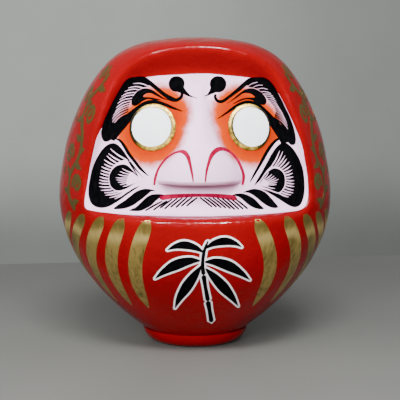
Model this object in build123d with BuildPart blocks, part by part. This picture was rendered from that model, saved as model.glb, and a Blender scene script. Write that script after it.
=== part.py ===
from build123d import *
import os

# A papier-mache daruma: two hollow half shells joined by a paper strip, a glued-on nose, and a
# foot cup with a clay weight.  Front is -Y, up is +Z, and the origin is the middle of the foot's
# underside.  Millimetres.

# ---- driving dimensions --------------------------------------------------------------------
HEIGHT = 240.0
SHELL_WALL = 2.5
SHELL_BASE_Z = 6.0
BASE_HOLE_R = 24.0

# Body sections from the base up: height, half width, half depth, lean towards the front.
BODY_SECTIONS = (
    (SHELL_BASE_Z, 34.5, 34.0, 0.0),
    (12.5, 43.0, 42.5, 0.0),
    (22.5, 55.5, 54.0, 0.0),
    (37.5, 71.0, 68.0, 0.5),
    (57.0, 87.0, 82.5, 1.0),
    (80.0, 99.5, 93.5, 1.5),
    (113.0, 107.5, 100.0, 0.0),
    (140.0, 105.0, 97.5, 0.5),
    (165.0, 99.5, 92.0, 2.0),
    (188.0, 90.5, 83.5, 4.5),
    (206.0, 80.5, 74.0, 7.5),
    (219.0, 70.5, 65.5, 10.0),
    (229.0, 58.5, 55.0, 12.5),
    (236.0, 42.0, 41.0, 14.0),
    (239.4, 20.0, 20.0, 13.0),
)
CROWN_LEAN = 13.0

# Cheek surface at the back of the face recess: height, half width, half depth.
CHEEK_SECTIONS = (
    (90.0, 112.0, 80.0),
    (113.0, 111.5, 80.0),
    (135.0, 110.0, 77.0),
    (160.0, 106.5, 71.0),
    (185.0, 100.0, 62.0),
    (213.0, 90.0, 52.0),
    (250.0, 76.0, 38.0),
)

# Right half of the face recess's outline, from the ledge up: x, height and corner radius, on one
# plane behind the cheeks and on one well in front.
RECESS_BACK_DEPTH = 40.0
RECESS_BACK = ((74.3, 114.4, 8.0), (80.0, 123.0, 8.0), (77.5, 135.5, 12.0), (54.0, 194.0, 10.0))
RECESS_FRONT_DEPTH = 112.0
RECESS_FRONT = ((85.0, 109.0, 8.0), (94.0, 120.0, 8.0), (97.0, 144.0, 20.0), (86.0, 342.0, 60.0))
RIM_R = 1.5
# The recess's top wall is steep, so the hollow behind it also moves back by this share of the wall.
STEEP_WALL_SHARE = 0.7

# Each eye disc sits where the hand-made face has it: its middle and the way it faces.
EYES = (
    ((-34.0, -61.9, 173.5), (-0.22, -0.93, 0.28)),
    ((37.5, -61.1, 173.5), (0.24, -0.93, 0.28)),
)
EYE_R = 17.3
EYE_DOME_R = 70.0
EYE_RISE = 3.0
EYE_ROOT = 4.0

# Nose sections from the nostrils up to the brow: height, half width, root and tip depths.
NOSE_SECTIONS = (
    (134.0, 35.0, 60.0, 90.0),
    (145.0, 32.5, 58.0, 89.5),
    (158.0, 25.0, 54.0, 84.5),
    (172.0, 17.0, 49.0, 76.5),
    (188.0, 12.5, 43.0, 66.5),
    (204.0, 10.5, 37.0, 56.0),
)
NOSE_EDGE_R = 1.5

FOOT_REST_R = 32.0
FOOT_BELLY = (39.2, 4.8)
FOOT_TOP = (41.6, 11.0)
SEAL_R = 28.0
SEAL_T = 0.8
BALLAST_TOP_Z = 23.0
BALLAST_EDGE_R = 5.0

STRIP_WIDTH = 18.0
STRIP_T = 0.8

STANDING = (Align.CENTER, Align.CENTER, Align.MIN)

os.makedirs("parts", exist_ok=True)


def body_form(inset=0.0):
    """The whole egg-shaped body, drawn in by an inset on every side."""
    squeeze = (HEIGHT - SHELL_BASE_Z - 2 * inset) / (HEIGHT - SHELL_BASE_Z)
    sections = []
    for z, half_width, half_depth, lean in BODY_SECTIONS:
        level = SHELL_BASE_Z + inset + (z - SHELL_BASE_Z) * squeeze
        with BuildSketch(Plane.XY.offset(level)) as section:
            with Locations((0, -lean)):
                Ellipse(half_width - inset, half_depth - inset)
        sections.append(section.sketch)
    with BuildPart() as form:
        loft(sections=sections + [Vertex(0, -CROWN_LEAN, HEIGHT - inset)])
    return form.part


def cheek_form(inset=0.0):
    """The convex surface that the face is painted on, as a solid."""
    with BuildPart() as form:
        for z, half_width, half_depth in CHEEK_SECTIONS:
            with BuildSketch(Plane.XY.offset(z)):
                Ellipse(half_width - inset, half_depth - inset)
        loft()
    return form.part


def recess_outline(right_side, depth, grow):
    """The face recess's outline on a vertical plane, widened all round."""
    left_side = [(-x, z, radius) for x, z, radius in reversed(right_side)]
    corners = [*right_side, *left_side]
    with BuildSketch(Plane.XZ.offset(depth)) as outline:
        with BuildLine():
            FilletPolyline(
                *[(x, z) for x, z, _ in corners],
                radius=[radius for _, _, radius in corners],
                close=True,
            )
        make_face()
        if grow:
            offset(amount=grow)
    return outline.sketch


def recess_form(grow=0.0):
    """What the face recess takes out of the body, or out of its hollow inside."""
    setback = STEEP_WALL_SHARE * grow
    back = recess_outline(RECESS_BACK, RECESS_BACK_DEPTH - setback, grow)
    front = recess_outline(RECESS_FRONT, RECESS_FRONT_DEPTH - setback, grow)
    with BuildPart() as form:
        loft(sections=[back, front], ruled=True)
        add(cheek_form(grow), mode=Mode.SUBTRACT)
    return form.part


def eye_disc(middle, facing):
    """One slightly domed eye disc."""
    with BuildPart(Plane(origin=middle, x_dir=(1, 0, 0), z_dir=facing)) as disc:
        with Locations((0, 0, EYE_RISE - EYE_DOME_R)):
            Sphere(EYE_DOME_R)
        with Locations((0, 0, -EYE_ROOT)):
            Cylinder(EYE_R, 2 * EYE_ROOT + EYE_RISE, align=STANDING, mode=Mode.INTERSECT)
    return disc.part


def save(part, label):
    """Name a finished piece and write it."""
    part.label = label
    export_step(part, f"parts/{label}.step")


body = body_form()
inside = body_form(SHELL_WALL)
cheeks = cheek_form()
eyes = [eye_disc(middle, facing) for middle, facing in EYES]

# ---- the hollow body, before it is cut at the seam -----------------------------------------
with BuildPart() as hollow:
    add(inside)
    add(recess_form(SHELL_WALL), mode=Mode.SUBTRACT)

with BuildPart() as shell:
    add(body)
    add(recess_form(), mode=Mode.SUBTRACT)
    outer_face = shell.faces().sort_by(SortBy.AREA)[-1]
    fillet(outer_face.inner_wires()[0].edges(), RIM_R)
    add(eyes)
    add(hollow.part, mode=Mode.SUBTRACT)
    with Locations((0, 0, SHELL_BASE_Z)):
        Cylinder(BASE_HOLE_R, 2 * SHELL_WALL, mode=Mode.SUBTRACT)

# ---- front and rear shells -----------------------------------------------------------------
with BuildPart() as front_shell:
    add(shell.part)
    split(bisect_by=Plane.XZ, keep=Keep.TOP)
save(front_shell.part, "front_shell")

with BuildPart() as rear_shell:
    add(shell.part)
    split(bisect_by=Plane.XZ, keep=Keep.BOTTOM)
save(rear_shell.part, "rear_shell")

# ---- paper strip pasted inside the seam, down to the clay ----------------------------------
with BuildPart() as seam_strip:
    with Locations((0, 0, BALLAST_TOP_Z)):
        Box(HEIGHT, STRIP_WIDTH, HEIGHT, align=STANDING)
    add(inside, mode=Mode.INTERSECT)
    add(body_form(SHELL_WALL + STRIP_T), mode=Mode.SUBTRACT)
save(seam_strip.part, "seam_strip")

# ---- nose: a solid wedge that sits on the cheek surface ------------------------------------
with BuildPart() as nose:
    for z, half_width, root, tip in NOSE_SECTIONS:
        with BuildSketch(Plane.XY.offset(z)):
            with Locations((0, -root)):
                Ellipse(half_width, tip - root)
    loft()
    fillet(nose.faces().sort_by(Axis.Z)[0].edges(), NOSE_EDGE_R)
    add(cheeks, mode=Mode.SUBTRACT)
save(nose.part, "nose")

# ---- foot cup: a ring that the body sits in ------------------------------------------------
with BuildPart() as foot_cup:
    with BuildSketch(Plane.XZ):
        with BuildLine():
            Polyline(FOOT_TOP, (BASE_HOLE_R, FOOT_TOP[1]), (BASE_HOLE_R, SEAL_T),
                     (SEAL_R, SEAL_T), (SEAL_R, 0), (FOOT_REST_R, 0))
            ThreePointArc((FOOT_REST_R, 0), FOOT_BELLY, FOOT_TOP)
        make_face()
    revolve()
    add(body, mode=Mode.SUBTRACT)
save(foot_cup.part, "foot_cup")

# ---- clay weight: fills the bottom of the body and plugs the hole in the foot --------------
with BuildPart() as ballast_clay:
    add(inside)
    split(bisect_by=Plane.XY.offset(BALLAST_TOP_Z), keep=Keep.BOTTOM)
    fillet(ballast_clay.faces().sort_by(Axis.Z)[-1].edges(), BALLAST_EDGE_R)
    with Locations((0, 0, SEAL_T)):
        Cylinder(BASE_HOLE_R, SHELL_BASE_Z + SHELL_WALL, align=STANDING)
save(ballast_clay.part, "ballast_clay")

# ---- paper disc under the foot -------------------------------------------------------------
with BuildPart() as bottom_seal:
    with BuildSketch(Plane.XY):
        Circle(SEAL_R)
    extrude(amount=SEAL_T)
save(bottom_seal.part, "bottom_seal")
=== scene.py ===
"""The daruma doll's looks: lacquered skin, white face, brush painting and gold on the CAD."""
import math
import random

import bmesh
import bpy
import numpy as np
from mathutils import Matrix, Vector, noise
from mathutils.bvhtree import BVHTree
from mathutils.geometry import delaunay_2d_cdt
from mathutils.kdtree import KDTree


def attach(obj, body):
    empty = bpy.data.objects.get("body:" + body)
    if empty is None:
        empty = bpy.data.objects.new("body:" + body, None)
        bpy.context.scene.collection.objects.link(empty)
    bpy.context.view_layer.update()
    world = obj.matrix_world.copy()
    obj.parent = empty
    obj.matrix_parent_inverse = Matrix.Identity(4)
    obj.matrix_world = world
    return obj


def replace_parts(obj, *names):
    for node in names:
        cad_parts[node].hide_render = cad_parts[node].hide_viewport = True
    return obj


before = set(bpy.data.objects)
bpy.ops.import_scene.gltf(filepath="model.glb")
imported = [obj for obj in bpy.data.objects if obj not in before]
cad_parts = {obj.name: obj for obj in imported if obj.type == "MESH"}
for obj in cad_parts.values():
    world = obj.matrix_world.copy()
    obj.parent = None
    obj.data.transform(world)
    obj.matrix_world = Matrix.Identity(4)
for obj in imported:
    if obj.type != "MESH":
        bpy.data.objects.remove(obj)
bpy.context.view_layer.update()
rng = random.Random(7)
MM = 0.001

# ---- view ----
CAMERA_AT = Vector((-0.0458, -1.0490, 0.252))
CAMERA_LENS = 119.92
HEADING = math.radians(2.715)
PITCH = math.radians(7.617)
FORWARD = Vector((
    math.sin(HEADING) * math.cos(PITCH),
    math.cos(HEADING) * math.cos(PITCH),
    -math.sin(PITCH),
))
RIGHT = Vector((math.cos(HEADING), -math.sin(HEADING), 0.0))
UP = RIGHT.cross(FORWARD)

# The face is drawn flat, in millimetres from the point between the eyes, on a sheet in front of
# it, and carried to the surface along the lines from the viewpoint.
SHEET_DEPTH, SHEET_RISE, SHEET_SHIFT = 0.975, 0.0527, -0.0007
SHEET_AT = CAMERA_AT + FORWARD * SHEET_DEPTH + UP * SHEET_RISE + RIGHT * SHEET_SHIFT
# The white ground's outline is measured as directions from a point in front of the face.
RECESS_VIEW = Vector((0.0, -0.22, 0.165))
# Marks on the sides are drawn in millimetres round a cylinder of this radius and up it.
WRAP_RADIUS = 107.0

# Middle and facing of each eye disc, a little larger, higher and further out than the CAD's.
EYES = {
    "left": (Vector((-33.9, -61.9, 174.1)) * MM, Vector((-0.22, -0.93, 0.28)).normalized()),
    "right": (Vector((37.5, -61.1, 174.0)) * MM, Vector((0.24, -0.93, 0.28)).normalized()),
}
EYE_R = 17.8
EYE_DOME_R = 70.0
EYE_ACROSS = {"left": 0.98, "right": 0.92}
EYE_TOP = 4.3
EYE_EDGE_R = 1.1
EYE_FLAT_R = EYE_R - EYE_EDGE_R

# How closely painted shapes are divided, and how far paint stands out of and sinks into what it
# lies on, in millimetres.
PAINT_STEP, FINE_STEP, FINEST_STEP = 1.3, 1.1, 0.9
PAINT_LIFT, PAINT_SINK = 0.16, 0.12
BODY_PAINT_LIFT = 0.14
# The white ground is thicker.
GROUND_LIFT, GROUND_SINK = 0.36, 0.1

# A stroke is never thinner than this; ends wider than BLUNT_WIDTH bulge by a share of their width.
THINNEST, BLUNT_WIDTH, BULGE = 0.12, 1.0, 0.35
# How far a painted dot's edge wavers, as a share of its radius.
UNSTEADY = 0.015


# ---- drawing helpers ----
def through(points, steps=6, closed=False):
    """A smooth line through the given rows of numbers."""
    rows = [tuple(p) for p in points]
    if closed:
        padded = [rows[-1], *rows, rows[0], rows[1]]
    else:
        padded = [rows[0], *rows, rows[-1]]
    line = []
    for a, b, c, d in zip(padded, padded[1:], padded[2:], padded[3:]):
        for k in range(steps):
            t = k / steps
            line.append(tuple(
                0.5 * (2 * q + (r - p) * t + (2 * p - 5 * q + 4 * r - s) * t * t
                       + (3 * q - p - 3 * r + s) * t ** 3)
                for p, q, r, s in zip(a, b, c, d)
            ))
    if not closed:
        line.append(rows[-1])
    return line


def outline(points, steps=5):
    """A closed smooth shape."""
    return through(points, steps, closed=True)


def stroke(points, steps=6, swell=1.0):
    """A brush stroke's outline from rows of position and width."""
    line = through(points, steps)
    left, right = [], []
    for i, (x, y, w) in enumerate(line):
        before = line[max(i - 1, 0)]
        after = line[min(i + 1, len(line) - 1)]
        dx, dy = after[0] - before[0], after[1] - before[1]
        length = math.hypot(dx, dy) or 1.0
        half = max(w, THINNEST) * swell / 2
        left.append((x - dy / length * half, y + dx / length * half))
        right.append((x + dy / length * half, y - dx / length * half))
    return left + bulge(line[-1], line[-2]) + right[::-1] + bulge(line[0], line[1])


def bulge(end, before):
    """A point beyond a stroke's end, if the end is blunt."""
    x, y, w = end
    if w <= BLUNT_WIDTH:
        return []
    dx, dy = x - before[0], y - before[1]
    length = math.hypot(dx, dy) or 1.0
    return [(x + dx / length * w * BULGE, y + dy / length * w * BULGE)]


def circle(x, y, radius, count=28):
    """A round shape with a slightly unsteady edge."""
    return [
        (x + radius * math.cos(a) * (1 + UNSTEADY * math.sin(3 * a)),
         y + radius * math.sin(a) * (1 + UNSTEADY * math.cos(2 * a)))
        for a in (2 * math.pi * i / count for i in range(count))
    ]


def sides(polygon):
    """Pairs of neighbouring corners all the way round."""
    return zip(polygon, polygon[1:] + polygon[:1])


# ---- mesh helpers ----
def tree_of(mesh):
    """What rays are cast against."""
    return BVHTree.FromPolygons([v.co for v in mesh.vertices], [p.vertices for p in mesh.polygons])


def placed(name, data):
    """A new object in the scene."""
    made = bpy.data.objects.new(name, data)
    bpy.context.scene.collection.objects.link(made)
    return made


def new_piece(name, verts, faces, material):
    """A piece from points and faces."""
    mesh = bpy.data.meshes.new(name)
    mesh.from_pydata(verts, [], faces)
    mesh.validate()
    return add_piece(name, mesh, material)


def add_piece(name, mesh, material):
    """A smooth mesh piece that rides with the doll."""
    mesh.polygons.foreach_set("use_smooth", [True] * len(mesh.polygons))
    mesh.materials.clear()
    mesh.materials.append(material)
    piece = placed(name, mesh)
    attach(piece, "root")
    return piece


def mesh_of(block, name):
    """Turn a bmesh into a mesh."""
    mesh = bpy.data.meshes.new(name)
    block.to_mesh(mesh)
    block.free()
    return mesh


def remeshed(mesh, voxel, smoothings):
    """The mesh rebuilt on an even grid, in millimetres, and smoothed."""
    carrier = placed("carrier", mesh)
    remesh = carrier.modifiers.new("remesh", "REMESH")
    remesh.mode = "VOXEL"
    remesh.voxel_size = voxel * MM
    remesh.use_smooth_shade = True
    smooth = carrier.modifiers.new("smooth", "SMOOTH")
    smooth.factor = 0.5
    smooth.iterations = smoothings
    graph = bpy.context.evaluated_depsgraph_get()
    result = bpy.data.meshes.new_from_object(carrier.evaluated_get(graph))
    bpy.data.objects.remove(carrier)
    return result


def push(mesh, amount):
    """Move every vertex along its normal by amount(place) millimetres."""
    normals = [n.vector.copy() for n in mesh.vertex_normals]
    for vertex, normal in zip(mesh.vertices, normals):
        vertex.co += normal * amount(vertex.co) * MM
    mesh.update()


def cut_closed(block, point, facing, **cleared):
    """Cut a bmesh at a plane and close the cut: the edges round the new faces."""
    cut = bmesh.ops.bisect_plane(
        block, geom=[*block.verts, *block.edges, *block.faces], dist=1e-7,
        plane_co=point, plane_no=facing, **cleared,
    )
    edges = [e for e in cut["geom_cut"] if isinstance(e, bmesh.types.BMEdge) and e.is_valid]
    edges = [e for e in edges if e.is_boundary]
    bmesh.ops.triangle_fill(block, edges=edges, use_beauty=True, use_dissolve=False)
    return edges


def welded_nose(name):
    """The CAD nose with its faces joined."""
    nose = bmesh.new()
    nose.from_mesh(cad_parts["nose"].data)
    bmesh.ops.remove_doubles(nose, verts=nose.verts, dist=1e-6)
    return mesh_of(nose, name)


# Height of an even triangle, as a share of its side.
ROW_SHARE = 0.87


def inside(x, y, polygon):
    """Whether a point is inside a polygon."""
    hit = False
    for (x0, y0), (x1, y1) in sides(polygon):
        if (y0 > y) != (y1 > y) and x < x0 + (y - y0) / (y1 - y0) * (x1 - x0):
            hit = not hit
    return hit


def densify(polygon, step):
    """The polygon counterclockwise, with no side longer than the step."""
    area = sum(a[0] * b[1] - b[0] * a[1] for a, b in sides(polygon))
    if area < 0:
        polygon = polygon[::-1]
    points = []
    for a, b in sides(polygon):
        parts = max(1, math.ceil(math.dist(a, b) / step))
        points += [tuple(p + (q - p) * k / parts for p, q in zip(a, b)) for k in range(parts)]
    return points


def flat_triangles(shapes, holes, step):
    """Points and triangles that fill the shapes and leave the holes open."""
    points, outlines = [], []
    for polygon in [*shapes, *holes]:
        dense = densify(polygon, step)
        outlines.append(list(range(len(points), len(points) + len(dense))))
        points += dense
    edge = KDTree(len(points))
    for i, (x, y) in enumerate(points):
        edge.insert((x, y, 0), i)
    edge.balance()
    low_x, high_x = min(p[0] for p in points), max(p[0] for p in points)
    y, high_y = min(p[1] for p in points), max(p[1] for p in points)
    row = 0
    while y < high_y:
        x = low_x + (row % 2) * step / 2
        while x < high_x:
            if edge.find((x, y, 0))[2] > 0.5 * step and any(inside(x, y, s) for s in shapes):
                points.append((x, y))
            x += step
        y += step * ROW_SHARE
        row += 1
    made = delaunay_2d_cdt([Vector(p) for p in points], [], outlines, 1, 1e-4, True)
    triangles = [
        tuple(t) for t, sources in zip(made[2], made[5]) if sources and max(sources) < len(shapes)
    ]
    return made[0], triangles


def layer(name, hits, triangles, material, lift, sink):
    """A thin closed coat of paint over places and normals on a surface."""
    used = sorted({i for t in triangles for i in t})
    index = {old: new for new, old in enumerate(used)}
    count = len(used)
    verts = [hits[i][0] + hits[i][1] * lift * MM for i in used]
    verts += [hits[i][0] - hits[i][1] * sink * MM for i in used]
    faces, rim = [], {}
    for t in triangles:
        a, b, c = (index[i] for i in t)
        faces += [(a, b, c), (a + count, c + count, b + count)]
        for a, b in sides((a, b, c)):
            if (b, a) in rim:
                del rim[(b, a)]
            else:
                rim[(a, b)] = True
    faces += [(b, a, a + count, b + count) for a, b in rim]
    piece = new_piece(name, verts, faces, material)
    rim_edges = {tuple(sorted(pair)) for pair in rim}
    for edge in piece.data.edges:
        if tuple(sorted(edge.vertices)) in rim_edges:
            edge.use_edge_sharp = True


def paint(name, shapes, cast, material,
          holes=(), step=PAINT_STEP, lift=PAINT_LIFT, sink=PAINT_SINK):
    """Shapes drawn flat and cast onto a surface."""
    points, triangles = flat_triangles(shapes, holes, step)
    hits = [cast(x, y) for x, y in points]
    layer(name, hits, triangles, material, lift, sink)


def ink(name, shapes, step=FINE_STEP, holes=()):
    """Black brushwork on the face."""
    paint(name, shapes, on_face, BLACK, holes=holes, step=step)


# ---- materials ----
def rgb(red, green, blue):
    """Linear colour from display values of 0 to 255."""
    return tuple(
        c / 12.92 if c <= 0.04045 else ((c + 0.055) / 1.055) ** 2.4
        for c in (red / 255, green / 255, blue / 255)
    ) + (1.0,)


class Look:
    """A Principled material and the nodes that feed it."""

    def __init__(self, name, **settings):
        self.material = bpy.data.materials.new(name)
        self.material.use_nodes = True
        self.tree = self.material.node_tree
        self.shader = self.tree.nodes["Principled BSDF"]
        for key, value in settings.items():
            self.shader.inputs[key.replace("_", " ")].default_value = value
        self.place = self.node("ShaderNodeTexCoord").outputs["Object"]

    def node(self, kind, inputs=None, **settings):
        made = self.tree.nodes.new(kind)
        for key, value in settings.items():
            setattr(made, key, value)
        for key, value in (inputs or {}).items():
            if isinstance(value, bpy.types.NodeSocket):
                self.tree.links.new(value, made.inputs[key])
            else:
                made.inputs[key].default_value = value
        return made

    def noise(self, scale, detail=3.0, roughness=0.55, place=None):
        return self.node("ShaderNodeTexNoise", {
            "Vector": place or self.place, "Scale": scale, "Detail": detail,
            "Roughness": roughness,
        }).outputs["Fac"]

    def stretched(self, scale, rotation=(0, 0, 0)):
        return self.node("ShaderNodeMapping", {
            "Vector": self.place, "Scale": scale, "Rotation": rotation,
        }).outputs["Vector"]

    def math(self, operation, a, b=0.0):
        return self.node("ShaderNodeMath", {0: a, 1: b}, operation=operation).outputs[0]

    def ramp(self, value, low, high, to_low=0.0, to_high=1.0, kind="SMOOTHSTEP"):
        return self.node("ShaderNodeMapRange", {
            "Value": value, "From Min": low, "From Max": high, "To Min": to_low, "To Max": to_high,
        }, interpolation_type=kind).outputs["Result"]

    def mix(self, share, a, b):
        return self.node("ShaderNodeMix", {0: share, 6: a, 7: b}, data_type="RGBA").outputs[2]

    def axes(self):
        return self.node("ShaderNodeSeparateXYZ", {0: self.place}).outputs

    def distance(self, point):
        return self.node(
            "ShaderNodeVectorMath", {0: self.place, 1: tuple(point)}, operation="DISTANCE"
        ).outputs["Value"]

    def bump(self, height, strength, distance, normal=None):
        inputs = {"Height": height, "Strength": strength, "Distance": distance}
        if normal is not None:
            inputs["Normal"] = normal
        return self.node("ShaderNodeBump", inputs).outputs["Normal"]

    def set(self, socket, value):
        self.tree.links.new(value, self.shader.inputs[socket])

    def set_roughness(self, value, low, high):
        self.set("Roughness", self.ramp(value, 0.3, 0.7, low, high, "LINEAR"))


def red_lacquer():
    """Glossy red lacquer over slightly lumpy paper."""
    look = Look("red_lacquer", IOR=1.2)
    cloud = look.ramp(look.noise(14, 4), 0.35, 0.68)
    tone = look.mix(cloud, rgb(116, 0, 5), rgb(126, 0, 7))
    pores = look.ramp(look.noise(900, 2), 0.62, 0.75)
    look.set("Base Color", look.mix(look.math("MULTIPLY", pores, 0.35), tone, rgb(80, 0, 3)))
    look.set_roughness(look.noise(120, 3), 0.13, 0.24)
    soft = look.bump(look.noise(85, 3, 0.5), 0.5, 0.0016)
    look.set("Normal", look.bump(look.noise(260, 3, 0.6), 0.55, 0.0006, soft))
    return look.material


# Heights and distances, in metres, over which a tone fades in or out: the painted shadow under the
# nose, the orange airbrush, the painted shade and painted highlight on the gold bands, and the eye
# rings' dark inner line and painted shade on their far sides.
NOSE_SHADOW_FOOT, NOSE_SHADOW_TOP = (0.1255, 0.1335), (0.1358, 0.1372)
NOSE_SHADOW_SIDE = (0.022, 0.037)
GLOW_DEEP, GLOW_FADE = (0.016, 0.028), (0.0232, 0.0325)
GLOW_SHORTER_ABOVE = 0.004
BAND_TOP_SHADE = (0.098, 0.106)
BAND_HIGHLIGHT_FOOT, BAND_HIGHLIGHT_TOP = (0.088, 0.095), (0.096, 0.101)
RING_LINE, RING_SHADED_SIDE = (0.0144, 0.0155), (0.0395, 0.0475)
# How strong the painted shadow under the nose and the painted shade and highlight on the bands are at
# most.
NOSE_SHADOW, BAND_SHADE, BAND_HIGHLIGHT = 0.72, 0.75, 0.5


def chalk_tone(look):
    """The white ground's own uneven tone."""
    cloud = look.ramp(look.noise(26, 4), 0.3, 0.72)
    return look.mix(cloud, rgb(232, 190, 222), rgb(244, 203, 236))


def chalk_surface(look):
    """The white ground's soft sheen and fine grain."""
    look.set_roughness(look.noise(160, 3), 0.42, 0.58)
    soft = look.bump(look.noise(110, 3, 0.5), 0.4, 0.0008)
    look.set("Normal", look.bump(look.noise(700, 3, 0.6), 0.3, 0.0002, soft))


def white_ground():
    """The chalky white ground, with a painted shadow under the nose and over its lower edge."""
    look = Look("white_ground", Specular_IOR_Level=0.0)
    tone = chalk_tone(look)
    axes = look.axes()
    # Painted shadow: a pinkish grey darkening under the nose and up over its lower front, fading out
    # to the sides.
    below = look.ramp(axes["Z"], *NOSE_SHADOW_FOOT)
    above = look.ramp(axes["Z"], *NOSE_SHADOW_TOP, 1.0, 0.0)
    aside = look.ramp(look.math("ABSOLUTE", axes["X"]), *NOSE_SHADOW_SIDE, NOSE_SHADOW, 0.0)
    shade = look.math("MULTIPLY", look.math("MULTIPLY", below, above), aside)
    look.set("Base Color", look.mix(shade, tone, rgb(150, 104, 112)))
    chalk_surface(look)
    return look.material


def orange_glow(centres):
    """Airbrushed orange that fades into the white ground, round two middles and two above them."""
    look = Look("orange_airbrush", Specular_IOR_Level=0.0)
    white = chalk_tone(look)
    near = look.math("MINIMUM", look.distance(centres[0]), look.distance(centres[1]))
    above = look.math("MINIMUM", look.distance(centres[2]), look.distance(centres[3]))
    near = look.math("MINIMUM", near, look.math("ADD", above, GLOW_SHORTER_ABOVE))
    near = look.math("ADD", near, look.ramp(look.noise(220, 4, 0.7), 0.3, 0.7, -0.0008, 0.0008))
    strength = look.ramp(near, *GLOW_FADE, 1.0, 0.0)
    orange = look.mix(look.ramp(near, *GLOW_DEEP), rgb(160, 40, 0), rgb(184, 64, 0))
    look.set("Base Color", look.mix(strength, white, orange))
    chalk_surface(look)
    return look.material


def eye_white():
    """The blank eyes' cooler white."""
    look = Look("eye_white", Specular_IOR_Level=0.0)
    tone = look.mix(look.ramp(look.noise(60, 3), 0.3, 0.7), rgb(232, 238, 242), rgb(244, 247, 249))
    look.set("Base Color", tone)
    look.set_roughness(look.noise(200, 3), 0.3, 0.42)
    look.set("Normal", look.bump(look.noise(140, 3), 0.3, 0.0006))
    return look.material


def brushed_paint(name, dark, light):
    """Opaque brush paint with faint streaks."""
    look = Look(name, Specular_IOR_Level=0.0)
    streak = look.noise(420, 3, 0.6, look.stretched((1, 1, 0.35), (0.3, 0.5, 0.6)))
    look.set("Base Color", look.mix(look.ramp(streak, 0.3, 0.75), dark, light))
    look.set_roughness(streak, 0.62, 0.78)
    look.set("Normal", look.bump(streak, 0.35, 0.0003))
    return look.material


def gold_paint(name, dark, light, dullness=0.0):
    """Bronze-powder paint, thin enough in places to look olive, with painted shade towards the bands'
    tops and a painted highlight a little below them.
    """
    look = Look(name, Specular_IOR_Level=0.5)
    streak = look.noise(330, 4, 0.62, look.stretched((1, 1, 0.16)))
    cloud = look.noise(38, 3, 0.6, look.stretched((1, 1, 0.5)))
    blend = look.math("ADD", look.math("MULTIPLY", streak, 0.55), look.math("MULTIPLY", cloud, 0.6))
    share = look.ramp(blend, 0.40 + dullness, 0.72 + dullness)
    tone = look.mix(share, dark, light)
    height = look.math("ADD", look.axes()["Z"], look.ramp(cloud, 0.3, 0.7, -0.003, 0.003))
    # Painted shade: darker from about 98 mm up to the bands' tops, and as dark everywhere higher, the
    # whole vine too.
    tone = look.mix(look.ramp(height, *BAND_TOP_SHADE, 0.0, BAND_SHADE), tone, dark)
    # Painted highlight: a paler gold stretch from about 88 to 101 mm high, just below the bands' tops.
    highlight_foot = look.ramp(height, *BAND_HIGHLIGHT_FOOT)
    highlight_top = look.ramp(height, *BAND_HIGHLIGHT_TOP, BAND_HIGHLIGHT, 0.0)
    highlight = look.math("MULTIPLY", highlight_foot, highlight_top)
    look.set("Base Color", look.mix(highlight, tone, rgb(226, 198, 124)))
    look.set("Metallic", look.ramp(share, 0.0, 1.0, 0.5, 0.85, "LINEAR"))
    look.set_roughness(streak, 0.26, 0.46)
    look.set("Normal", look.bump(streak, 0.5, 0.0004))
    return look.material


def gilded_ring():
    """Gold round the eyes: bright towards the nose, with painted shade turning it dark olive on the
    far sides, and a dark line along its inner edge.
    """
    look = Look("bright_gold_paint", Specular_IOR_Level=0.2)
    streak = look.noise(330, 4, 0.62)
    across = look.math("ABSOLUTE", look.axes()["X"])
    across = look.math("ADD", across, look.ramp(streak, 0.3, 0.7, -0.003, 0.003))
    bright = look.mix(look.ramp(streak, 0.35, 0.65), rgb(104, 84, 22), rgb(204, 170, 76))
    middles = [look.distance(at + out * EYE_TOP * MM) for at, out in EYES.values()]
    inner = look.ramp(look.math("MINIMUM", *middles), *RING_LINE)
    bright = look.mix(inner, rgb(56, 48, 14), bright)
    # Painted shade: the gold turns dark olive on the far side of each eye.
    look.set("Base Color", look.mix(look.ramp(across, *RING_SHADED_SIDE), bright, rgb(34, 30, 12)))
    look.set("Metallic", look.ramp(streak, 0.0, 1.0, 0.3, 0.6, "LINEAR"))
    look.set_roughness(streak, 0.34, 0.5)
    look.set("Normal", look.bump(streak, 0.4, 0.0003))
    return look.material


def rough_material(name, dark, light, scale, height):
    """Dull paper or clay with grain and flecks."""
    look = Look(name)
    grain = look.noise(scale, 5, 0.65)
    fleck = look.noise(scale * 6, 3, 0.6, look.stretched((1, 0.3, 1), (0.4, 0.2, 0.9)))
    look.set("Base Color", look.mix(look.ramp(grain, 0.32, 0.68), dark, light))
    look.set_roughness(fleck, 0.77, 0.93)
    look.set("Normal", look.bump(fleck, 0.6, height))
    return look.material


LACQUER = red_lacquer()
BLACK = brushed_paint("black_paint", rgb(3, 3, 4), rgb(9, 9, 11))
CRIMSON = brushed_paint("crimson_paint", rgb(122, 2, 36), rgb(154, 14, 62))
WHITE_LINE = brushed_paint("white_line", rgb(226, 214, 220), rgb(242, 236, 238))
GOLD = gold_paint("gold_paint", rgb(92, 76, 26), rgb(178, 152, 84))
DULL_GOLD = gold_paint("dull_gold_paint", rgb(74, 62, 20), rgb(150, 128, 62), 0.04)
BRIGHT_GOLD = gilded_ring()
EYE_WHITE = eye_white()
WHITE = white_ground()

# ---- lacquered skin ----
SKIN_VOXEL, SKIN_SMOOTHINGS = 1.6, 60
SKIN_WAVE, SKIN_INSET = 0.28, 0.1
# Waves per metre of the broad and fine unevenness.
BROAD_WAVES, FINE_WAVES = 42.0, 95.0


def wave(p):
    """The slow unevenness of pasted paper, from about -1 to 1."""
    broad = noise.noise(p * BROAD_WAVES)
    fine = noise.noise(p * FINE_WAVES + Vector((3.1, 7.7, 1.3)))
    return broad * 0.7 + fine * 0.35


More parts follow.
